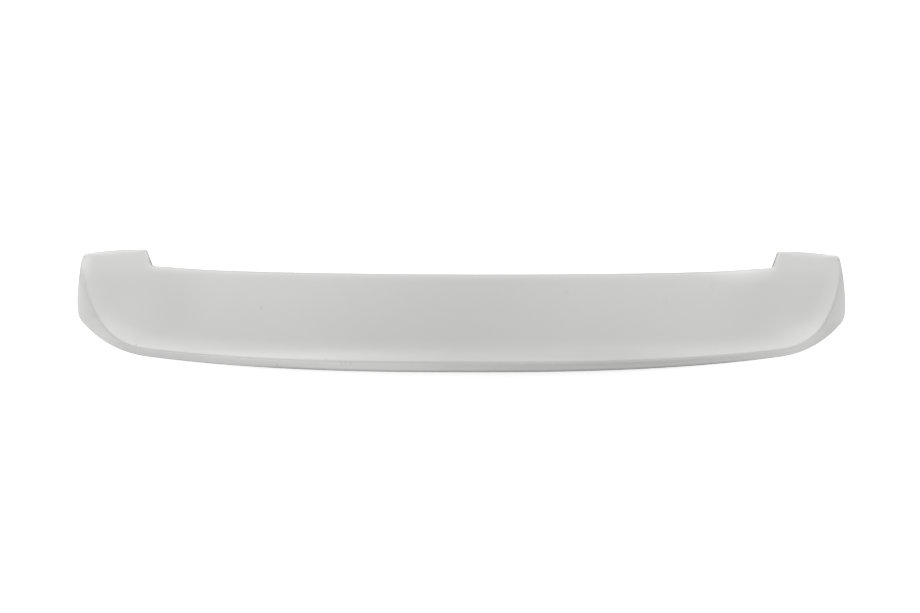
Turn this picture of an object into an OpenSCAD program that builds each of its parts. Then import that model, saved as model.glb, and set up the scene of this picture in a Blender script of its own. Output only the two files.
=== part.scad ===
// Tailgate-top spoiler for a family car: one moulded shell, open underneath.
// X runs across the car, +Y points to the front of the car, Z is up.
// The shell stands on its bonding flange, centred on the origin.

/* [Plan of the shell] */
// overall width across the car
span = 1266; // [1100:1:1400]
// front of the horns to the trailing lip
depth = 211.2; // [180:0.1:250]
// half width of the roof-edge notch between the two horns
notch_half = 510; // [460:0.5:530]
// how far the middle of the notch edge sits behind the horn fronts
notch_set_back = 49.1; // [35:0.1:60]
// how far the notch edge sweeps forward from its middle to its corners
notch_bow = 17.3; // [5:0.1:24]
// sideways lean of the horn's inner wall from notch corner to tip
horn_lean = 13; // [6:0.5:30]
// how far the horn's front edge sweeps back from tip to outer corner
horn_sweep = 6.2; // [0:0.1:10]
// how far the trailing lip sweeps forward before the rear corners
lip_sweep = 30.5; // [10:0.5:40]

/* [Top surface] */
// height of the level middle of the top surface over the base
body_h = 22; // [20:0.5:30]
// fall from the level middle to the front edge of the horns
front_fall = 12; // [6:0.5:14]
// rise of the trailing edge over the level middle
kick_h = 5; // [0:0.5:12]
// length of that rise, measured in from the crease
kick_len = 18; // [10:1:35]
// rise of the horns over the notch edge
horn_rise = 8; // [0:0.5:12]

/* [Skirt and edges] */
// run of the skirt, crease to lower edge, in the middle of the lip
lip_run = 7.5; // [6:0.5:16]
// run of the flared skirt at the ends, crease to lower edge
side_run = 25; // [18:0.5:33]
// hollow of the skirt, as a part of its run
skirt_hollow = 0.12; // [0:0.01:0.2]
// rounding of the crease, measured on the top surface
crease_r = 4.5; // [3:0.5:10]
// rounding of the rolled front edge, measured on the top surface
front_r = 14; // [6:0.5:18]
// depth of the rounded edges, as a part of the wall's height
roll_depth = 0.17; // [0.1:0.01:0.3]
// extra depth of that rounding at the front outer corners
corner_roll = 0.2; // [0:0.01:0.3]
// draft of the front wall, outward at its foot
front_draft = 1.5; // [0.5:0.1:3]

/* [Base and wall] */
// crown of the tailgate under the shell, highest in the middle
crown = 17; // [4:0.5:20]
// half width of the crowned part of the base
crown_half = 540; // [480:1:560]
// thickness of the moulded wall
wall_t = 3.5; // [2.5:0.1:4]
// width of the bonding flange round the base
flange_w = 15; // [10:0.5:20]
// thickness of the bonding flange
flange_t = 3.5; // [2.5:0.1:4]

/* [Quality] */
// steps across the top surface, front to rear
field_steps = 10; // [6:1:16]

/* [Colour] */
// light grey primer
primer = [0.78, 0.78, 0.77]; // [0:0.01:1]

/* [Hidden] */
sx = span / 1266;
sy = depth / 213.2;
y_rear = -depth / 2;
quarter = 37;
loop = 4 * quarter;
steps = field_steps;

// Places in plan are given as [x, distance in front of the trailing lip].
function at(x, y) = [x * sx, y_rear + y * sy];
function bez(a, c, b, t) = (1 - t) * (1 - t) * a + 2 * t * (1 - t) * c + t * t * b;
function ease(v) = v <= 0 ? 0 : v >= 1 ? 1 : v * v * (3 - 2 * v);
function unit(v) = v / max(norm(v), 0.000001);
function turn(v) = [v[1], -v[0]];
function run_of(a, c, b, n, from = 0, to = 1) =
    [for (i = [1:n]) bez(a, c, b, from + (to - from) * i / n)];

// Front edge of the top surface, from the middle to the front outer corner.
notch_y = depth / 2 - notch_set_back;
notch_corner = [notch_half, notch_y + notch_bow];
horn_y = depth / 2 - front_draft;
horn_tip = [notch_half + horn_lean, horn_y];
horn_front_end = [617.5 * sx, horn_y - horn_sweep];
corner_low_end = horn_front_end + [front_draft, front_draft + 0.2];
top_front = concat(
    [for (i = [0:20]) let (u = i / 20) [notch_half * u, notch_y + notch_bow * pow(u, 1.92)]],
    [for (i = [1:4]) notch_corner + (horn_tip - notch_corner) * i / 4],
    run_of(horn_tip, [567 * sx, horn_y + 0.2], horn_front_end, 9),
    run_of(at(625, 189), at(626.6, 203.8), horn_front_end, 4, 1, 0.5));

// Crease between top surface and skirt, from the middle to the same corner.
flare = side_run - 25;
bend = at(581.6 - flare, 73.4);
side_mid = at(607.5 - flare, 107);
side_end = at(623.5 - 0.4 * flare, 170);
top_rear = concat(
    [for (i = [0:16]) let (u = i / 16) at(510 * u, lip_run + (lip_sweep - 4) * pow(u, 2.4))],
    run_of(at(510, lip_run + lip_sweep - 4), at(555.5 - flare, lip_run + lip_sweep + 2.2), bend, 6),
    run_of(bend, side_mid, side_end, 9),
    run_of(side_end, at(624.8, 180), at(625, 189), 2),
    run_of(at(625, 189), at(626.6, 203.8), horn_front_end, 4, 0, 0.5));

// Lower edge of the skirt, from the middle to the same corner.
low_rear = concat(
    [for (i = [0:16]) let (u = i / 16) at(508 * u, lip_sweep * pow(u, 2.26))],
    run_of(at(508, lip_sweep), at(572.5, lip_sweep + 7.1), at(617.7, 85.8), 7),
    run_of(at(617.7, 85.8), at(625.2, 91.8), at(629.2, 103.8), 3),
    run_of(at(629.2, 103.8), at(633, 121), at(633, 148), 3),
    run_of(at(633, 148), at(633, 175), at(631.5, 192), 4),
    run_of(at(631.5, 192), at(630, 211), corner_low_end, 4, 0, 0.5));

// Tangent of a half outline walked from front middle to rear middle.
top_half = concat(top_front, [for (k = [quarter - 1:-1:0]) top_rear[k]]);
function tangent(p, j) =
    j == 0 ? [1, 0] : j == 2 * quarter ? [-1, 0]
    : unit(unit(p[j + 1] - p[j]) + unit(p[j] - p[j - 1]));
top_in = [for (j = [0:2 * quarter]) turn(tangent(top_half, j))];

// Lower edge: the front wall has only its draft, the skirt has its own line.
low_half = concat(
    [for (j = [0:33]) top_front[j] - top_in[j] * front_draft],
    run_of(at(631.5, 192), at(630, 211), corner_low_end, 4, 1, 0.5),
    [for (k = [quarter - 1:-1:0]) low_rear[k]]);
low_in = [for (j = [0:2 * quarter]) turn(tangent(low_half, j))];

// How much of the skirt's character a place has: 0 on the front wall, 1 on the skirt.
function skirt_at(j) = ease((j - 33) / 8);

// Height of the base and of the top surface over a place in plan.
function base_z(p) =
    let (u = min(1, abs(p[0]) / crown_half)) crown * pow(1 - u * u, 2);
function top_z(p) =
    let (
        back = (p[1] - y_rear) / sy,
        fall = pow(max(0, back - 43) / 170, 2.4),
        horn = ease((abs(p[0]) - notch_half + 111) / 111) * ease((back - 70) / 110))
    base_z(p) + body_h - front_fall * fall + horn_rise * horn;

// Rise towards the crease, a little more at the ends; it fades out along the horn.
function kick(p, gap) =
    let (
        back = (p[1] - y_rear) / sy,
        ends = 0.85 + 0.4 * pow(p[0] / (span / 2), 2))
    kick_h * ends * exp(-gap / kick_len) * ease((200 - back) / 130);

function lift(p, z) = [p[0], p[1], z];

// Points of one half, station by station.
crease_pt = [for (j = [0:2 * quarter])
    let (p = top_half[j]) lift(p, top_z(p) + skirt_at(j) * kick(p, 0))];
foot_pt = [for (j = [0:2 * quarter]) lift(low_half[j], base_z(low_half[j]))];

// Skirt or front wall from foot (t = 0) to crease (t = 1), hollow by its run.
function skirt(j, t) =
    let (
        a = foot_pt[j],
        b = crease_pt[j],
        run = norm([b[0] - a[0], b[1] - a[1]]),
        sag = skirt_hollow * run * 4 * t * (1 - t) * skirt_at(j))
    a + (b - a) * t + sag * lift(low_in[j], -0.3);

// Place on the top surface a little inside the crease.
function inset(j, gap) =
    let (p = top_half[j] + top_in[j] * gap)
    lift(p, top_z(p) + skirt_at(j) * kick(p, gap));
function edge_r(j) = front_r + (crease_r - front_r) * ease((j - 34) / 13);

// Part of the wall's height that the rounding takes up, most at the front outer corner.
function round_part(j) =
    roll_depth + corner_roll * ease((j - 27) / 8) * ease((47 - j) / 8);

// Horizontal offset that gives the leaning wall its true thickness.
function lean_t(j) =
    let (d = crease_pt[j] - foot_pt[j])
    wall_t * min(2, norm(d) / max(d[2], 1));

function outer_pt(j, r) =
    let (f = 1 - round_part(j))
    r == 0 ? foot_pt[j]
    : r == 1 ? skirt(j, f * 0.4)
    : r == 2 ? skirt(j, f * 0.75)
    : r == 3 ? skirt(j, f)
    : r == 4 ? bez(skirt(j, f), crease_pt[j], inset(j, edge_r(j)), 0.25)
    : r == 5 ? bez(skirt(j, f), crease_pt[j], inset(j, edge_r(j)), 0.5)
    : r == 6 ? bez(skirt(j, f), crease_pt[j], inset(j, edge_r(j)), 0.75)
    : inset(j, edge_r(j));

function inner_pt(j, r) =
    let (
        flange = low_half[j] + low_in[j] * flange_w,
        foot = low_half[j] + low_in[j] * lean_t(j),
        high = inset(j, edge_r(j) + wall_t * 0.6))
    r == 0 ? high - [0, 0, wall_t]
    : r == 1 ? lift(top_half[j] + top_in[j] * (wall_t * 1.2 + 1), crease_pt[j][2] - wall_t * 1.35)
    : r == 2 ? skirt(j, 0.5) + lift(low_in[j], 0) * lean_t(j)
    : r == 3 ? lift(foot, base_z(foot) + flange_t)
    : r == 4 ? lift(flange, base_z(flange) + flange_t)
    : lift(flange, base_z(flange));

// Rings run from the cavity roof down, round the flange and up the outside.
ring_count = 14;
function half_pt(j, r) = r < 6 ? inner_pt(j, r) : outer_pt(j, r - 6);
function mirrored(p) = [-p[0], p[1], p[2]];
rings = [for (r = [0:ring_count - 1])
    let (half = [for (j = [0:2 * quarter]) half_pt(j, r)])
    [for (j = [0:loop - 1]) j <= 2 * quarter ? half[j] : mirrored(half[loop - j])]];

// Both faces of the top surface are ribs from the front edge to the crease.
function share(m) = (1 - cos(180 * m / steps)) / 2;
function rib_pt(r, drop, i, m) =
    let (
        a = rings[r][i >= 0 ? i : loop + i],
        b = rings[r][2 * quarter - i],
        s = share(m),
        flat = a + (b - a) * s,
        gap = norm([b[0] - a[0], b[1] - a[1]]) * (1 - s) + crease_r,
        part = skirt_at(2 * quarter - abs(i)))
    lift(flat, top_z(flat) + part * kick(flat, gap) - drop);
function ribs(r, drop) =
    [for (i = [1 - quarter:quarter - 1]) for (m = [1:steps - 1]) rib_pt(r, drop, i, m)];

ring_points = [for (ring = rings) each ring];
rib_total = (2 * quarter - 1) * (steps - 1);
points = concat(ring_points, ribs(ring_count - 1, 0), ribs(0, wall_t));

function rib_id(r, first, i, m) =
    m == 0 || abs(i) == quarter ? r * loop + (i >= 0 ? i : loop + i)
    : m == steps ? r * loop + 2 * quarter - i
    : first + (i + quarter - 1) * (steps - 1) + m - 1;

// Four corners become two triangles; a corner met twice leaves one.
function halves(q, left) =
    let (
        t = left ? [[q[0], q[1], q[2]], [q[0], q[2], q[3]]]
                 : [[q[0], q[1], q[3]], [q[1], q[2], q[3]]])
    [for (f = t) if (f[0] != f[1] && f[1] != f[2] && f[0] != f[2]) f];

ring_faces = [for (r = [0:ring_count - 2]) for (j = [0:loop - 1])
    let (
        k = (j + 1) % loop,
        low = r * loop,
        high = low + loop)
    each halves([low + j, low + k, high + k, high + j], j < 2 * quarter)];
function rib_faces(r, first, up) =
    [for (i = [-quarter:quarter - 1]) for (m = [0:steps - 1])
        let (
            a = rib_id(r, first, i, m),
            b = rib_id(r, first, i + 1, m),
            c = rib_id(r, first, i + 1, m + 1),
            d = rib_id(r, first, i, m + 1))
        each (up ? halves([a, b, c, d], i < 0) : halves([d, c, b, a], i >= 0))];
top_first = ring_count * loop;
faces = concat(
    ring_faces,
    rib_faces(ring_count - 1, top_first, true),
    rib_faces(0, top_first + rib_total, false));

// The whole spoiler is one moulding: top, skirt, front wall and flange.
module spoiler_shell() {
    color(primer)
    polyhedron(points = points, faces = faces, convexity = 6);
}

spoiler_shell();
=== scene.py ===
import math

import bpy
import numpy as np
from mathutils import Matrix, Vector


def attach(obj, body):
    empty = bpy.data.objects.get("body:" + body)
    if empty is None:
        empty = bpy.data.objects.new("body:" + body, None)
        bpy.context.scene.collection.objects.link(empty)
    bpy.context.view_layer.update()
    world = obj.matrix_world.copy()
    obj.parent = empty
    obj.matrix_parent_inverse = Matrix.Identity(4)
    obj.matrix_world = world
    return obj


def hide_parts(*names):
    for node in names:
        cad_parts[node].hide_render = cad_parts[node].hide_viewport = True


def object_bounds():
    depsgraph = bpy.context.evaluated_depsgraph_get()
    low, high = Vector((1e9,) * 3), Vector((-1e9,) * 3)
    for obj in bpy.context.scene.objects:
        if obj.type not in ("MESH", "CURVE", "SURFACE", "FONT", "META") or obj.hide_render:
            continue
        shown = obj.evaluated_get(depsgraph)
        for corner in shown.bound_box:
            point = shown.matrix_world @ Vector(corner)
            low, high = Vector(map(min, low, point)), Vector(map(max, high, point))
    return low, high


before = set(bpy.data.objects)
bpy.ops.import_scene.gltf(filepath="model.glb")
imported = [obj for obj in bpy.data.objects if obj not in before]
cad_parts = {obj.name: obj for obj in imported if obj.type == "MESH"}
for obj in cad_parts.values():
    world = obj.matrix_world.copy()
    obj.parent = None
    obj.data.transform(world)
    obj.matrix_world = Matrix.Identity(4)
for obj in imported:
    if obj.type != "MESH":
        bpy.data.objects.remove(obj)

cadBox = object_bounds()
mm = 0.001
print("stage: frame loaded")

cameraSetup = {
    "elevation": 72.0,        # degrees above the horizon, seen from behind the car
    "lean": 0.03,             # the camera stands this much to the left, per metre of distance
    "distance": 2.2864,       # metres to the aim point
    "aim": (0.0, -0.0036, 0.02),
    "focalLength": 55.0,
    "sensorWidth": 36.0,
    "rollDegrees": 0.119,     # the shell lies a touch clockwise in the picture
    "aimPixel": (465.0, 311.4),
    "picture": (920, 613),
}


def addCamera(setup):
    # Unit vectors: backward from the elevation, right from the level direction turned by the roll,
    # up = backward x right. The shift brings the aim point to its pixel.
    elevation = math.radians(setup["elevation"])
    roll = math.radians(setup["rollDegrees"])
    backward = Vector((-setup["lean"], -math.cos(elevation), math.sin(elevation))).normalized()
    levelRight = (Vector((1.0, 0.0, 0.0)) - backward * backward.x).normalized()
    right = levelRight * math.cos(roll) + backward.cross(levelRight) * math.sin(roll)
    up = backward.cross(right)
    camera = bpy.data.objects.new("camera", bpy.data.cameras.new("camera"))
    bpy.context.scene.collection.objects.link(camera)
    place = Matrix((right, up, backward)).transposed().to_4x4()
    place.translation = Vector(setup["aim"]) + backward * setup["distance"]
    camera.matrix_world = place
    camera.data.lens = setup["focalLength"]
    camera.data.sensor_width = setup["sensorWidth"]
    width, height = setup["picture"]
    camera.data.shift_x = -(setup["aimPixel"][0] - width / 2) / width
    camera.data.shift_y = (setup["aimPixel"][1] - height / 2) / width
    camera.data.clip_start = 0.05
    camera.data.clip_end = 60.0
    bpy.context.scene.camera = camera


addCamera(cameraSetup)
print("stage: camera set")

# The shell's numbers. Lengths are in millimetres, as in the CAD source, and become metres at the end.
# One half is walked from the middle of the notch edge round the horn and the side to the middle of
# the lip. A station is a place on that walk, counted in steps.
shellSizes = {
    "span": 1266.0,
    "depth": 211.2,
    "notchHalf": 510.0,       # from the middle to the notch corner
    "notchSetBack": 49.1,     # notch edge behind the horns' front, in the middle
    "notchBow": 17.3,         # the notch edge runs forward by this towards its corners
    "notchFillet": 5.0,       # softened inner corner between notch edge and horn
    "hornLean": 13.0,         # the horn's inner wall leans outwards to its tip
    "hornSweep": 6.2,         # the horn's front edge runs back towards the side
    "lipSweep": 30.5,         # the rear edge runs forward towards the sides
    "lipRun": 7.5,            # the lip's foot lies behind its crease
    "sideRun": 25.0,          # and the side's foot outside its crease
    "skirtHollow": 0.18,      # sag of the skirt, as a share of its run
    "sagDrop": 0.3,           # the sag goes down by this share of what it goes in
    "creaseRound": 4.5,
    "frontRound": 14.0,       # width of the rolled front edge
    "rollDepth": 0.17,        # share of the wall's height that the roll takes
    "cornerRoll": 0.2,        # added to that share at the front corner
    "frontDraft": 1.5,        # the front wall's foot stands out

    # heights; places are plan millimetres from the rear edge
    "crown": 17.0,            # arch of the base in the middle
    "crownHalf": 540.0,
    "bodyHeight": 21.4,       # top above base
    "frontFall": 11.2,        # the top falls towards the front
    "fallStart": 43.0,
    "fallRun": 170.0,
    "fallPower": 2.4,
    "hornRise": 6.8,          # the horns stand above the notch edge
    "hornBlend": 111.0,       # and rise over this width beside the notch corner
    "hornStart": 70.0,
    "hornRun": 110.0,
    "kickHeight": 5.8,        # the trailing crease rises
    "kickLength": 40.0,       # over this distance
    "kickMiddle": 0.85,       # share of the kick in the middle
    "kickEnds": 0.4,          # added to it at the ends
    "kickGone": 200.0,
    "kickFade": 130.0,

    # the inside, in shares of the wall, and the flange
    "wall": 3.5,
    "mostLean": 2.0,
    "ceilingIn": 0.6,
    "shoulderIn": 1.2,
    "shoulderMore": 1.0,      # millimetres
    "shoulderDrop": 1.35,
    "heelIn": 1.2,
    "heelSpare": 2.0,         # millimetres of flange that stay beside the heel
    "flangeWidth": 15.0,
    "flangeThickness": 3.5,
    "edgeSoftness": 0.7,      # rounding of the trimmed edges

    # plan points of the right half, from the middle line and from the rear edge, for a shell of the
    # span, depth and side run that stand first
    "plan": {
        "span": 1266.0, "depth": 213.2, "sideRun": 25.0,
        "hornFrontX": 567.0, "hornEndX": 617.5, "frontBulge": 0.2,
        "creaseCornerBend": (626.6, 203.8),
        "creaseCorner": (625.0, 189.0),
        "creaseSideBend": (624.8, 180.0),
        "creaseSideFront": (623.5, 170.0),
        "creaseSideMiddle": (607.5, 107.0),
        "creaseTurn": (581.6, 73.4),
        "creaseLipBend": (555.5, 2.2),
        "creaseLipHalf": 510.0, "creaseSweepLess": 4.0,
        "footLipHalf": 508.0,
        "footLipBend": (572.5, 7.1),
        "footTurn": (617.7, 85.8),
        "footTurnBend": (625.2, 91.8),
        "footSideRear": (629.2, 103.8),
        "footSideRearBend": (633.0, 121.0),
        "footSide": (633.0, 148.0),
        "footSideBend": (633.0, 175.0),
        "footCorner": (631.5, 192.0),
        "footCornerBend": (630.0, 211.0),
    },
    "powers": {"notch": 1.92, "creaseLip": 2.4, "footLip": 2.26},
    "creaseSteps": {"notch": 20, "hornWall": 4, "hornFront": 9, "corner": 4, "sideFront": 2, "side": 9,
                    "lipCorner": 6, "lip": 16},
    "footSteps": {"corner": 4, "side": 4, "sideRear": 3, "turn": 3, "lipCorner": 7, "lip": 16},
    "quarterSteps": 37,       # from the middle of the notch edge to the front corner, and on to the lip
    "frontEnd": 33,           # station where the horn's front edge ends

    # stations at which a change starts, is complete, starts to leave and is gone
    "changes": {
        "skirt": (33, 41),                        # the front wall becomes the hollow skirt
        "creaseRound": (34, 47),                  # the rolled edge narrows to the crease
        "cornerRoll": (27, 35, 39, 47),
        "steepWall": (19.6, 20.4, 23.6, 24.4),    # the horn's inner wall stands upright
        "narrowTip": (20.5, 23, 25, 27),
        "narrowCorner": (30.5, 33, 37.5, 40),
    },
    "narrowTip": 0.5,         # share by which edge and flange narrow, so that no offset folds over
    "narrowCorner": 0.62,

    # painted shade and light marks: strength, over 0 painted shade and under 0 painted light, and stations
    # on the right and left half
    "paintedShadeMarks": {
        # painted shade on the front wall and the lower rolled front edge
        "frontRim": (0.5, (-1, 0, 33, 36)),
        # painted shade on the horns' inner walls, darkest at the notch corner
        "hornWall": (19.9, 20.3, 23.5, 25),
        "hornWallRight": (1.5, -0.12),            # at the notch corner, and change per step from there
        "hornWallLeft": (1.25, -0.06),
        # painted shade on the left horn's inner edge
        "hornEdgeLeft": (19.9, 20.3, 21, 23),
        # painted light near the foot of the rear corners, fading up the skirt
        "cornerFoot": (-0.45, (43, 46, 48, 53), (43, 46, 51, 56)),
        "cornerFootFade": 1.2,
        # painted shade on the left half of the lip
        "lipLeft": (0.2, (53, 56, 64, 69)),
        # painted shadow line along the foot of the lip, and a painted shadow band just above it
        "footLine": (1.7, (57, 61), (54, 59)),
        "footBand": (0.66, (57, 61), (62, 65.5)),
    },

    # mesh
    "stationsPerStep": 4,
    "topSteps": 40,
    "bendRings": 9,
    "skirtLevels": (0.07, 0.3, 0.55, 0.8, 1.0),
}


def ease(v):
    # smooth step: 3 v^2 - 2 v^3 between 0 and 1, level outside
    v = np.clip(v, 0.0, 1.0)
    return v * v * (3 - 2 * v)


def window(station, rise, full, leave=None, gone=None):
    # 0 up to rise, 1 from full to leave, 0 from gone on, with a smooth step on each flank
    up = ease((station - rise) / (full - rise))
    return up if leave is None else up * ease((gone - station) / (gone - leave))


def bend(a, c, b, t):
    # quadratic curve from a to b drawn towards c: (1-t)^2 a + 2 t (1-t) c + t^2 b
    t = np.asarray(t, float)[:, None]
    return (1 - t) ** 2 * np.array(a) + 2 * t * (1 - t) * np.array(c) + t ** 2 * np.array(b)


def outlines(s, fine, fillet=0.0):
    # Plan curves of one half. The notch edge is y = bow u^1.92, the crease of the lip y = sweep v^2.4
    # and its foot y = sweep v^2.26, for u and v from 0 in the middle to 1 at the end. Every other run
    # is a quadratic curve between two plan points.
    p, n, powers = s["plan"], s["creaseSteps"], s["powers"]
    sx, sy, rear = s["span"] / p["span"], s["depth"] / p["depth"], -s["depth"] / 2
    sweep, creaseSweep, lip = s["lipSweep"], s["lipSweep"] - p["creaseSweepLess"], s["lipRun"]

    def plan(x, y):
        # from plan millimetres to x and y about the middle of the shell
        x, y = np.broadcast_arrays(np.asarray(x, float) * sx, rear + np.asarray(y, float) * sy)
        return np.stack([x, y], -1)

    def at(name, dx=0.0, dy=0.0):
        # a named plan point, moved by dx and dy
        return plan(p[name][0] + dx, p[name][1] + dy)

    def run(a, c, b, steps, low=0.0, high=1.0):
        # the curve's points after share low, up to share high
        return bend(a, c, b, low + (high - low) * np.arange(1, steps * fine + 1) / (steps * fine))

    # notch edge, inner wall and front edge of the horn
    notchY = s["depth"] / 2 - s["notchSetBack"]
    corner = np.array([s["notchHalf"], notchY + s["notchBow"]])
    hornY = s["depth"] / 2 - s["frontDraft"]
    tip = np.array([s["notchHalf"] + s["hornLean"], hornY])
    hornEnd = np.array([p["hornEndX"] * sx, hornY - s["hornSweep"]])
    lowEnd = hornEnd + [s["frontDraft"], s["frontDraft"] + p["frontBulge"]]
    u = np.arange(n["notch"] * fine + 1) / (n["notch"] * fine) * (1 - fillet / s["notchHalf"])
    notch = np.stack([s["notchHalf"] * u, notchY + s["notchBow"] * u ** powers["notch"]], -1)
    along = np.arange(1, n["hornWall"] * fine + 1) / (n["hornWall"] * fine)
    inner = corner + (tip - corner) * along[:, None]
    if fillet:
        turn = round(fillet / 8 * fine + 1)
        inner[:turn] = bend(notch[-1], corner, inner[turn - 1], np.arange(1, turn + 1) / turn)
    hornFront = run(tip, [p["hornFrontX"] * sx, hornY + p["frontBulge"]], hornEnd, n["hornFront"])
    topFront = np.vstack([notch, inner, hornFront,
                          run(at("creaseCorner"), at("creaseCornerBend"), hornEnd, n["corner"], 1, 0.5)])

    # crease from the middle of the lip forward to the front corner
    flare = s["sideRun"] - p["sideRun"]
    turnIn, sideEnd = at("creaseTurn", -flare), at("creaseSideFront", -0.4 * flare)
    v = np.arange(n["lip"] * fine + 1) / (n["lip"] * fine)
    topRear = np.vstack([
        plan(p["creaseLipHalf"] * v, lip + creaseSweep * v ** powers["creaseLip"]),
        run(plan(p["creaseLipHalf"], lip + creaseSweep), at("creaseLipBend", -flare, lip + sweep), turnIn,
            n["lipCorner"]),
        run(turnIn, at("creaseSideMiddle", -flare), sideEnd, n["side"]),
        run(sideEnd, at("creaseSideBend"), at("creaseCorner"), n["sideFront"]),
        run(at("creaseCorner"), at("creaseCornerBend"), hornEnd, n["corner"], 0, 0.5)])

    # foot from the middle of the lip forward to the front corner
    n = s["footSteps"]
    lowRear = np.vstack([
        plan(p["footLipHalf"] * v, sweep * v ** powers["footLip"]),
        run(plan(p["footLipHalf"], sweep), at("footLipBend", 0, sweep), at("footTurn"), n["lipCorner"]),
        run(at("footTurn"), at("footTurnBend"), at("footSideRear"), n["turn"]),
        run(at("footSideRear"), at("footSideRearBend"), at("footSide"), n["sideRear"]),
        run(at("footSide"), at("footSideBend"), at("footCorner"), n["side"]),
        run(at("footCorner"), at("footCornerBend"), lowEnd, n["corner"], 0, 0.5)])
    lowCorner = run(at("footCorner"), at("footCornerBend"), lowEnd, n["corner"], 1, 0.5)
    return np.vstack([topFront, topRear[:-1][::-1]]), lowCorner, lowRear


def inwardOf(points):
    # unit vector into the shell: the summed direction of both neighbours, turned right
    step = np.diff(points, axis=0)
    step /= np.linalg.norm(step, axis=1)[:, None]
    along = np.vstack([[1.0, 0.0], step[1:] + step[:-1], [-1.0, 0.0]])
    along /= np.linalg.norm(along, axis=1)[:, None]
    return np.stack([along[:, 1], -along[:, 0]], -1)


def spread(values, fine):
    # unit vectors at whole steps, carried linearly onto the stations between them
    coarse = np.arange(len(values))
    wanted = np.arange((len(values) - 1) * fine + 1) / fine
    out = np.stack([np.interp(wanted, coarse, values[:, k]) for k in range(values.shape[1])], -1)
    return out / np.linalg.norm(out, axis=1)[:, None]


def paintedShadeOf(s, station, footFirst, skirtFirst, bendFirst, ringCount):
    # Painted shade and light for each ring and station: strength times a window along the walk.
    m = s["paintedShadeMarks"]

    def around(right, left=None):
        # the right half's values, then the left half's on the way back
        left = right if left is None else left
        return np.concatenate([right, left[1:-1][::-1]])

    def both(name):
        # a mark with its own window on each half
        strength, right, left = m[name]
        return strength * around(window(station, *right), window(station, *left))

    none = 0 * station
    shade = np.zeros((ringCount, 2 * len(station) - 2))
    # painted shade on the front wall
    strength, where = m["frontRim"]
    shade[skirtFirst:bendFirst + 4] = strength * around(window(station, *where))
    # painted shade on the horns' inner walls and on the left horn's edge
    wallPlace, past = window(station, *m["hornWall"]), station - s["creaseSteps"]["notch"]
    wallRight, wallLeft = [wallPlace * (start + change * past)
                           for start, change in (m["hornWallRight"], m["hornWallLeft"])]
    onWall, onEdge = around(wallRight, wallLeft), around(none, window(station, *m["hornEdgeLeft"]))
    shade[footFirst:bendFirst + 1] = np.maximum(shade[footFirst:bendFirst + 1], onWall)
    shade[bendFirst + 1:bendFirst + 4] = np.maximum(shade[bendFirst + 1:bendFirst + 4], onEdge)
    # painted light near the foot of the rear corners, less of it higher up the skirt
    climb = np.array([0, 0, 0, *s["skirtLevels"]])[:, None]
    shade[footFirst:bendFirst] += (1 - climb) ** m["cornerFootFade"] * both("cornerFoot")
    # painted shade on the left half of the lip
    strength, where = m["lipLeft"]
    shade[skirtFirst:bendFirst + 2] += strength * around(none, window(station, *where))
    # painted shadow line on the foot of the lip and a painted shadow band above it
    shade[footFirst:skirtFirst] += both("footLine")
    shade[skirtFirst] += both("footBand")
    return shade


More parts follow.
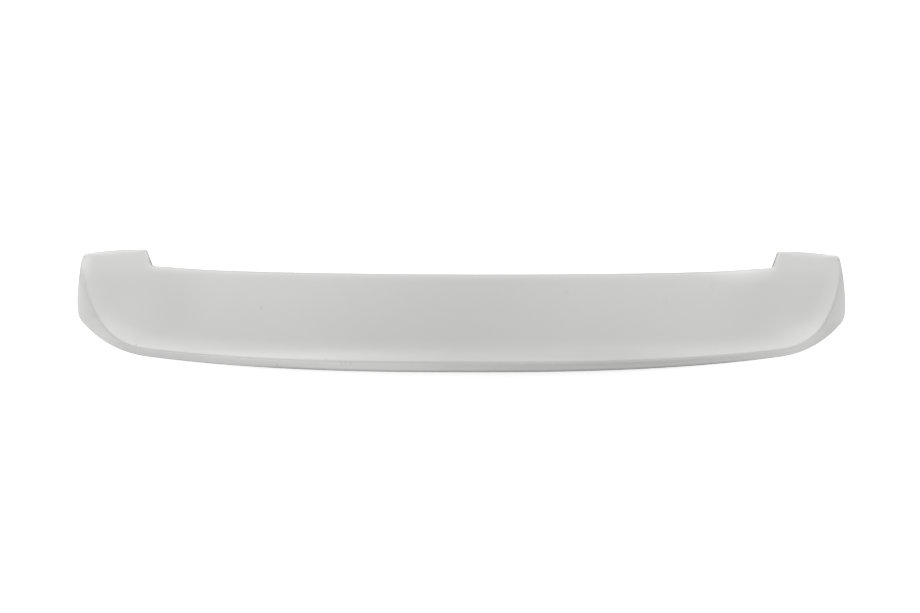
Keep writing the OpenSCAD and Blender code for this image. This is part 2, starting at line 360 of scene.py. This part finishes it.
def shellPoints(s):
    # Rings go from the cavity's ceiling down round the flange and up the outside. Each is a closed
    # loop of stations, offset inwards in plan and placed in height. Ribs join the front and rear of
    # the last ring across the top, and of the first ring across the ceiling.
    fine, topSteps, changes = s["stationsPerStep"], s["topSteps"], s["changes"]
    frontEnd, quarterSteps = s["frontEnd"], s["quarterSteps"]
    rear, sy = -s["depth"] / 2, s["depth"] / s["plan"]["depth"]
    coarseTop, coarseCorner, coarseRear = outlines(s, 1)
    topIn = inwardOf(coarseTop)
    lowFront = coarseTop[:frontEnd + 1] - topIn[:frontEnd + 1] * s["frontDraft"]
    lowIn = spread(inwardOf(np.vstack([lowFront, coarseCorner, coarseRear[:-1][::-1]])), fine)
    topIn = spread(topIn, fine)
    top, lowCorner, lowRear = outlines(s, fine, s["notchFillet"])
    station = np.arange(len(top)) / fine
    wallEnd = frontEnd * fine + 1
    draft = (s["frontDraft"] * (1 - window(station, *changes["steepWall"])))[:wallEnd, None]
    low = np.vstack([top[:wallEnd] - topIn[:wallEnd] * draft, lowCorner, lowRear[:-1][::-1]])
    skirtPart = window(station, *changes["skirt"])

    def backOf(p):
        # distance from the rear edge, in plan millimetres
        return (p[..., 1] - rear) / sy

    def baseHeight(p):
        # crown (1 - u^2)^2, with u the distance from the middle as a share of the crown's half width
        u = np.minimum(1, np.abs(p[..., 0]) / s["crownHalf"])
        return s["crown"] * (1 - u * u) ** 2

    def topHeight(p):
        # base + body - fall b^2.4 + horn rise, with b the share of the way to the front
        back = backOf(p)
        fall = (np.maximum(0, back - s["fallStart"]) / s["fallRun"]) ** s["fallPower"]
        horn = ease((np.abs(p[..., 0]) - s["notchHalf"] + s["hornBlend"]) / s["hornBlend"])
        horn = horn * ease((back - s["hornStart"]) / s["hornRun"])
        return baseHeight(p) + s["bodyHeight"] - s["frontFall"] * fall + s["hornRise"] * horn

    def kick(p, gap):
        # height (1 - gap / length)^2, a little more at the ends and none at the front
        ends = s["kickMiddle"] + s["kickEnds"] * (p[..., 0] / (s["span"] / 2)) ** 2
        curl = np.maximum(0, 1 - gap / s["kickLength"]) ** 2
        return s["kickHeight"] * ends * curl * ease((s["kickGone"] - backOf(p)) / s["kickFade"])

    def lift(p, z):
        # plan points with a height
        return np.concatenate([p, np.broadcast_to(np.asarray(z, float), p.shape[:-1])[..., None]], -1)

    crease = lift(top, topHeight(top) + skirtPart * kick(top, 0.0))
    foot = lift(low, baseHeight(low))
    rise = crease - foot
    height, length = np.maximum(rise[:, 2], 1), np.linalg.norm(rise, axis=1)
    runLength = np.hypot(rise[:, 0], rise[:, 1])

    def skirt(t):
        # straight from foot to crease, less a sag of hollow * run * 4 t (1 - t)
        sag = s["skirtHollow"] * runLength * 4 * t * (1 - t) * skirtPart
        return foot + rise * np.asarray(t)[..., None] + lift(lowIn, -s["sagDrop"]) * sag[:, None]

    def inset(gap):
        # the crease moved inwards by gap, on the top
        p = top + topIn * np.asarray(gap)[..., None]
        return lift(p, topHeight(p) + skirtPart * kick(p, gap))

    def onBase(gap, up):
        # the foot moved inwards by gap and up from the base
        p = low + lowIn * np.asarray(gap)[..., None]
        return lift(p, baseHeight(p) + up)

    room = (1 - s["narrowTip"] * window(station, *changes["narrowTip"])
            - s["narrowCorner"] * window(station, *changes["narrowCorner"]))
    edge = s["frontRound"] + (s["creaseRound"] - s["frontRound"]) * window(station, *changes["creaseRound"])
    edge, flange = edge * room, s["flangeWidth"] * room
    wallPart = 1 - s["rollDepth"] - s["cornerRoll"] * window(station, *changes["cornerRoll"])

    def bentOver(t):
        # quadratic curve from the wall's upper end over the crease onto the top
        a, c, b = skirt(wallPart), crease, inset(edge)
        return (1 - t) ** 2 * a + 2 * t * (1 - t) * c + t ** 2 * b

    # cavity: ceiling, shoulder, inner wall and flange, one wall behind the outside
    wall, soft = s["wall"], s["edgeSoftness"]
    leaning = wall * np.minimum(s["mostLean"], length / height)
    ceilingGap = edge + wall * s["ceilingIn"]
    ceiling = inset(ceilingGap) - [0, 0, wall]
    shoulderGap = wall * s["shoulderIn"] + s["shoulderMore"]
    shoulder = lift(top + topIn * shoulderGap, crease[:, 2] - wall * s["shoulderDrop"])
    inner = skirt(np.full(len(low), 0.5)) + lift(lowIn, 0.0) * leaning[:, None]
    climbShare = s["flangeThickness"] / height
    sagShare = 4 * s["skirtHollow"] * (1 - climbShare) * skirtPart
    heelGap = runLength * climbShare * (1 + sagShare) + s["heelIn"] * wall
    heel = onBase(np.minimum(heelGap, flange - s["heelSpare"]), s["flangeThickness"])
    toe = onBase(flange, s["flangeThickness"])
    cavity = [(1 - t) ** 2 * ceiling + 2 * t * (1 - t) * shoulder + t ** 2 * (shoulder + inner) / 2
              for t in (0, 0.25, 0.5, 0.75, 1.0)]
    cavity += [inner, heel + (inner - heel) * 0.25, heel + (toe - heel) * 0.15, toe + (heel - toe) * 0.1,
               toe - [0, 0, soft], onBase(flange, soft), onBase(flange - soft, 0.0)]

    # outside: foot, skirt, bend over the crease, start of the top
    footPart = soft / np.maximum(length, 1)
    footRings = [onBase(soft, 0.0),
                 0.5 * onBase(soft * 0.3, 0.0) + 0.5 * skirt(footPart * 0.3),
                 skirt(footPart)]
    skirtRings = [skirt(footPart + (wallPart - footPart) * t) for t in s["skirtLevels"]]
    bends = s["bendRings"]
    bendRings = [bentOver(t) for t in np.arange(1, bends + 1) / (bends + 1)]
    half = np.stack(cavity + footRings + skirtRings + bendRings + [inset(edge)])
    mirrored = half[:, 1:-1][:, ::-1] * [-1, 1, 1]
    rings = np.concatenate([half, mirrored], axis=1)

    quarter = quarterSteps * fine
    loop = 4 * quarter
    ribs = np.arange(1 - quarter, quarter)
    share = (1 - np.cos(np.pi * np.arange(1, topSteps) / topSteps)) / 2

    def field(ring, drop, ringGap):
        # points of every rib between its two ends, closer together near the ends
        a = ring[ribs % loop][:, None]
        b = ring[2 * quarter - ribs][:, None]
        rearEnd = 2 * quarter - np.abs(ribs)
        flat = (a + (b - a) * share[None, :, None])[..., :2]
        gap = np.linalg.norm((b - a)[..., :2], axis=-1) * (1 - share) + ringGap[rearEnd][:, None]
        part = window(rearEnd / fine, *changes["skirt"])[:, None]
        return lift(flat, topHeight(flat) + part * kick(flat, gap) - drop).reshape(-1, 3)

    points = np.concatenate([rings.reshape(-1, 3), field(rings[-1], 0.0, edge),
                             field(rings[0], wall, ceilingGap)])
    footFirst = len(cavity)
    skirtFirst = footFirst + len(footRings)
    bendFirst = skirtFirst + len(skirtRings)
    shade = paintedShadeOf(s, station, footFirst, skirtFirst, bendFirst, len(rings))
    return points, len(rings), loop, shade


def shellFaces(ringCount, loop, topSteps):
    # quads between neighbouring rings, then between neighbouring ribs on both faces
    quarter = loop // 4
    j = np.arange(loop)
    k = (j + 1) % loop
    low = (np.arange(ringCount - 1) * loop)[:, None]
    bands = np.stack([low + j, low + k, low + loop + k, low + loop + j], -1).reshape(-1, 4)

    def ribIds(ring, first):
        # point numbers of a rib grid, whose ends are the ring's own points
        i = np.arange(-quarter, quarter + 1)[:, None]
        m = np.arange(topSteps + 1)[None, :]
        ids = first + (i + quarter - 1) * (topSteps - 1) + m - 1
        ids = np.where(m == topSteps, ring * loop + 2 * quarter - i, ids)
        return np.where((m == 0) | (np.abs(i) == quarter), ring * loop + i % loop, ids)

    def sheet(ids, up):
        # quads between neighbouring ribs, facing up or down
        q = np.stack([ids[:-1, :-1], ids[1:, :-1], ids[1:, 1:], ids[:-1, 1:]], -1).reshape(-1, 4)
        return q if up else q[:, ::-1]

    first = ringCount * loop
    count = (2 * quarter - 1) * (topSteps - 1)
    outside = sheet(ribIds(ringCount - 1, first), True)
    inside = sheet(ribIds(0, first + count), False)
    return np.concatenate([bands, outside, inside])[:, ::-1]


def buildShell(s):
    # points in metres inside the CAD box, quads, triangles where a quad has two equal corners
    points, ringCount, loop, shade = shellPoints(s)
    quads = shellFaces(ringCount, loop, s["topSteps"])
    points = np.clip(points * mm, np.array(cadBox[0]), np.array(cadBox[1]))
    folded = (quads == quads[:, [1, 2, 3, 0]]).any(1)
    triangles = [list(dict.fromkeys(q)) for q in quads[folded].tolist()]
    faces = quads[~folded].tolist() + [f for f in triangles if len(f) == 3]
    mesh = bpy.data.meshes.new("spoilerShell")
    mesh.from_pydata(points.tolist(), [], faces)
    mesh.update()
    # painted shade and light from the marks, kept on each point for the primer
    values = np.zeros(len(points), np.float32)
    values[:ringCount * loop] = shade.reshape(-1)
    mesh.attributes.new("paintedShadeMark", "FLOAT", "POINT").data.foreach_set("value", values)
    mesh.polygons.foreach_set("use_smooth", np.ones(len(mesh.polygons), bool))
    mesh.set_sharp_from_angle(angle=math.radians(38))
    shell = bpy.data.objects.new("spoilerShell", mesh)
    bpy.context.scene.collection.objects.link(shell)
    return shell


shell = buildShell(shellSizes)
print("stage: shell built,", len(shell.data.polygons), "faces")

primerLook = {
    "colour": (0.6, 0.6, 0.594, 1.0),
    "roughness": 0.6,
    "specular": 0.35,
    "cloud": 0.01,            # slow change of tone over the top
    "cloudScale": 9.0,
    "middleTone": 0.91,       # painted shade: tone in the middle against the ends
    "middleHalf": 0.43,
    "paintedShadeTone": 0.58,         # painted shade: tone where a shade mark is 1
    "grainScale": 900.0,
    "grainStrength": 0.25,
    "grainHeight": 0.00004,
    # soft spots of another tone, painted light and shade first, then pits, flecks and smudges: middle and
    # half sizes in metres, tone
    "spots": [
        ((0.452, 0.066, 0.03), (0.085, 0.03, 0.03), 1.17),        # painted light by the right notch corner
        ((-0.622, 0.079, 0.018), (0.022, 0.05, 0.03), 1.14),      # painted light on the left front corner
        ((-0.6, -0.02, 0.025), (0.04, 0.06, 0.03), 0.94),         # painted shade on the crease at both corners
        ((0.6, -0.02, 0.025), (0.04, 0.06, 0.03), 0.96),
        ((-0.55, -0.005, 0.02), (0.1, 0.075, 0.05), 1.07),        # painted light on both ends
        ((0.55, -0.005, 0.02), (0.1, 0.075, 0.05), 1.05),
        ((-0.25, -0.084, 0.034), (0.34, 0.018, 0.03), 1.1),       # painted highlight and shade along the crease
        ((0.25, -0.086, 0.034), (0.18, 0.018, 0.03), 0.92),
        ((0.53, -0.04, 0.03), (0.07, 0.045, 0.03), 1.07),
        ((-0.526, -0.0627, 0.0261), (0.0022, 0.0022, 0.006), 0.76),   # pits along the crease and the lip
        ((-0.302, -0.0938, 0.0169), (0.003, 0.0035, 0.008), 0.82),
        ((-0.2542, -0.0906, 0.0246), (0.0045, 0.004, 0.01), 0.86),
        ((-0.2226, -0.0891, 0.037), (0.0045, 0.0035, 0.008), 0.9),
        ((-0.1985, -0.0956, 0.036), (0.004, 0.0035, 0.01), 0.91),
        ((-0.1912, -0.0958, 0.036), (0.003, 0.0035, 0.01), 0.88),
        ((-0.1835, -0.0959, 0.036), (0.0035, 0.0035, 0.01), 0.89),
        ((-0.3298, -0.001, 0.0275), (0.0028, 0.008, 0.01), 0.92),     # upright fleck on the top
        ((0.1652, 0.0265, 0.0333), (0.006, 0.006, 0.01), 0.95),
        ((0.328, 0.011, 0.03), (0.008, 0.02, 0.02), 0.975),       # faint smudges right of the middle
        ((0.407, 0.039, 0.025), (0.008, 0.016, 0.02), 0.975),
    ],
}


def nodeMaker(material):
    # two helpers: one makes a node, where in0, in1 and so on set an input by number, and one links
    tree = material.node_tree

    def make(kind, label=None, **values):
        node = tree.nodes.new(kind)
        if label:
            node.label = label
        for key, value in values.items():
            if key[2:].isdigit():
                node.inputs[int(key[2:])].default_value = value
            else:
                setattr(node, key, value)
        return node

    def link(a, b):
        tree.links.new(a, b)

    return tree, make, link


def setInputs(node, values):
    # each named input gets its constant
    for name, value in values.items():
        node.inputs[name].default_value = value


def primerMaterial(look):
    # colour = primer tone x clouds x middle tone of painted shade x painted shade and light of the marks x
    # every soft spot
    material = bpy.data.materials.new("lightGreyPrimer")
    material.use_nodes = True
    tree, make, link = nodeMaker(material)
    shader = tree.nodes["Principled BSDF"]
    where = make("ShaderNodeTexCoord").outputs["Object"]

    clouds = make("ShaderNodeTexNoise", "slow change of tone")
    setInputs(clouds, {"Scale": look["cloudScale"], "Detail": 3.0})
    tone = make("ShaderNodeMapRange", "tone from clouds")
    setInputs(tone, {"From Min": 0.3, "From Max": 0.7,
                     "To Min": 1 - look["cloud"], "To Max": 1 + look["cloud"]})
    colour = make("ShaderNodeMix", "primer tone", data_type="RGBA", blend_type="MULTIPLY",
                  in0=1.0, in6=look["colour"])
    link(where, clouds.inputs["Vector"])
    link(clouds.outputs["Fac"], tone.inputs["Value"])
    link(tone.outputs["Result"], colour.inputs[7])

    # painted shade: the middle of the shell is a little darker than its ends
    place = make("ShaderNodeSeparateXYZ")
    side = make("ShaderNodeMath", "distance from the middle", operation="ABSOLUTE")
    middle = make("ShaderNodeMapRange", "middle tone", interpolation_type="SMOOTHSTEP")
    setInputs(middle, {"From Min": -0.05, "From Max": look["middleHalf"], "To Min": look["middleTone"]})
    link(where, place.inputs[0])
    link(place.outputs["X"], side.inputs[0])
    link(side.outputs[0], middle.inputs["Value"])

    # painted shade and painted light, from the shade marks
    mark = make("ShaderNodeAttribute", attribute_name="paintedShadeMark")
    shadeTone = make("ShaderNodeMapRange", "thin coat", clamp=False)
    setInputs(shadeTone, {"To Min": 1.0, "To Max": look["paintedShadeTone"]})
    both = make("ShaderNodeMath", operation="MULTIPLY")
    link(mark.outputs["Fac"], shadeTone.inputs["Value"])
    link(middle.outputs["Result"], both.inputs[0])
    link(shadeTone.outputs["Result"], both.inputs[1])

    total = both.outputs[0]
    for middlePoint, halfSizes, spotTone in look["spots"]:
        local = make("ShaderNodeMapping", vector_type="TEXTURE")
        setInputs(local, {"Location": middlePoint, "Scale": halfSizes})
        fade = make("ShaderNodeTexGradient", "soft spot", gradient_type="SPHERICAL")
        spot = make("ShaderNodeMapRange", interpolation_type="SMOOTHSTEP")
        setInputs(spot, {"To Min": 1.0, "To Max": spotTone})
        step = make("ShaderNodeMath", operation="MULTIPLY")
        link(where, local.inputs["Vector"])
        link(local.outputs["Vector"], fade.inputs["Vector"])
        link(fade.outputs["Fac"], spot.inputs["Value"])
        link(total, step.inputs[0])
        link(spot.outputs["Result"], step.inputs[1])
        total = step.outputs[0]

    shade = make("ShaderNodeMix", "tone over the part", data_type="RGBA", blend_type="MULTIPLY", in0=1.0)
    link(colour.outputs[2], shade.inputs[6])
    link(total, shade.inputs[7])
    link(shade.outputs[2], shader.inputs["Base Color"])
    setInputs(shader, {"Roughness": look["roughness"], "Specular IOR Level": look["specular"]})

    grain = make("ShaderNodeTexNoise", "spray grain")
    setInputs(grain, {"Scale": look["grainScale"], "Detail": 2.0})
    bump = make("ShaderNodeBump", "spray grain height")
    setInputs(bump, {"Strength": look["grainStrength"], "Distance": look["grainHeight"]})
    link(where, grain.inputs["Vector"])
    link(grain.outputs["Fac"], bump.inputs["Height"])
    link(bump.outputs["Normal"], shader.inputs["Normal"])
    return material


shell.data.materials.append(primerMaterial(primerLook))
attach(shell, "root")
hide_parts("spoiler_shell")
print("stage: primer on the shell")

studio = {
    "floorSize": 12.0,
    "floorColour": (0.82, 0.82, 0.82, 1.0),
    "floorGlow": 0.6,         # added for the camera alone, so that the floor reads white
    "patchPlace": (0.24, -0.19, 0.0),
    "patchSize": (0.36, 0.2, 1.0),
    "patchColour": (0.0, 0.0, 0.0, 1.0),
    "patchFirmness": 1.8,
    "skyBase": 0.27,          # light from straight above
    "skyHorizon": 1.3,        # added towards the horizon
    "skyFront": 0.3,          # added towards the front of the car
    "skyLeft": 0.1,           # added towards the left
    "keyPlace": (-0.4, 3.5, 0.9),
    "keySize": 2.0,
    "keyPower": 90.0,
    "rearPlace": (-0.3, -3.2, 0.42),
    "rearSize": 1.6,
    "rearPower": 22.0,
}


def addFloor(setup):
    # a square at height 0, white for the camera; reflected light sees a dull patch behind the lip's
    # right half, as strong as the closeness to the patch's middle times its firmness
    half = setup["floorSize"] / 2
    mesh = bpy.data.meshes.new("floor")
    corners = [(-half, -half, 0), (half, -half, 0), (half, half, 0), (-half, half, 0)]
    mesh.from_pydata(corners, [], [(0, 1, 2, 3)])
    floor = bpy.data.objects.new("floor", mesh)
    bpy.context.scene.collection.objects.link(floor)
    material = bpy.data.materials.new("paleFloor")
    material.use_nodes = True
    tree, make, link = nodeMaker(material)
    tree.nodes.remove(tree.nodes["Principled BSDF"])
    path = make("ShaderNodeLightPath")

    # closeness to the patch's middle, firmed, and none of it for the camera
    where = make("ShaderNodeTexCoord")
    patch = make("ShaderNodeMapping", "dull patch", vector_type="TEXTURE")
    setInputs(patch, {"Location": setup["patchPlace"], "Scale": setup["patchSize"]})
    fade = make("ShaderNodeTexGradient", gradient_type="SPHERICAL")
    firm = make("ShaderNodeMath", operation="MULTIPLY", in1=setup["patchFirmness"], use_clamp=True)
    hidden = make("ShaderNodeMath", operation="SUBTRACT", in0=1.0)
    amount = make("ShaderNodeMath", operation="MULTIPLY")
    dull = make("ShaderNodeMix", "floor for the shell", data_type="RGBA",
                in6=setup["floorColour"], in7=setup["patchColour"])
    link(where.outputs["Object"], patch.inputs["Vector"])
    link(patch.outputs["Vector"], fade.inputs["Vector"])
    link(fade.outputs["Fac"], firm.inputs[0])
    link(path.outputs["Is Camera Ray"], hidden.inputs[1])
    link(firm.outputs[0], amount.inputs[0])
    link(hidden.outputs[0], amount.inputs[1])
    link(amount.outputs[0], dull.inputs[0])

    matte = make("ShaderNodeBsdfDiffuse")
    glow = make("ShaderNodeEmission")
    level = make("ShaderNodeMath", operation="MULTIPLY", in1=setup["floorGlow"])
    both = make("ShaderNodeAddShader")
    link(dull.outputs[2], matte.inputs[0])
    link(path.outputs["Is Camera Ray"], level.inputs[0])
    link(level.outputs[0], glow.inputs["Strength"])
    link(matte.outputs[0], both.inputs[0])
    link(glow.outputs[0], both.inputs[1])
    link(both.outputs[0], tree.nodes["Material Output"].inputs["Surface"])
    mesh.materials.append(material)


def addWorld(setup):
    # strength = base + horizon (1 - up) + front + left, and plain white where the camera sees it
    world = bpy.data.worlds.new("studio")
    bpy.context.scene.world = world
    world.use_nodes = True
    tree, make, link = nodeMaker(world)
    background = tree.nodes["Background"]
    where = make("ShaderNodeTexCoord")
    split = make("ShaderNodeSeparateXYZ")
    link(where.outputs["Generated"], split.inputs[0])
    total = None
    for axis, fromMin, fromMax, name in (("Z", 1.0, 0.0, "skyHorizon"), ("Y", 0.0, 1.0, "skyFront"),
                                         ("X", 0.0, -1.0, "skyLeft")):
        part = make("ShaderNodeMapRange", name)
        setInputs(part, {"From Min": fromMin, "From Max": fromMax, "To Max": setup[name]})
        link(split.outputs[axis], part.inputs["Value"])
        add = make("ShaderNodeMath", operation="ADD", in0=setup["skyBase"])
        if total is not None:
            link(total, add.inputs[0])
        link(part.outputs["Result"], add.inputs[1])
        total = add.outputs[0]
    path = make("ShaderNodeLightPath")
    pick = make("ShaderNodeMix", "white for the camera", data_type="FLOAT", in3=1.0)
    link(path.outputs["Is Camera Ray"], pick.inputs[0])
    link(total, pick.inputs[2])
    link(pick.outputs[0], background.inputs["Strength"])
    background.inputs["Color"].default_value = (1, 1, 1, 1)


def addLamp(setup, name):
    # a square soft box that looks at the origin
    place = Vector(setup[name + "Place"])
    lamp = bpy.data.objects.new(name, bpy.data.lights.new(name, "AREA"))
    lamp.data.size = setup[name + "Size"]
    lamp.data.energy = setup[name + "Power"]
    lamp.location = place
    lamp.rotation_euler = (-place).to_track_quat("-Z", "Y").to_euler()
    bpy.context.scene.collection.objects.link(lamp)


addFloor(studio)
addWorld(studio)
addLamp(studio, "key")
addLamp(studio, "rear")
bpy.context.scene.view_settings.view_transform = "Standard"
print("stage: studio lit")
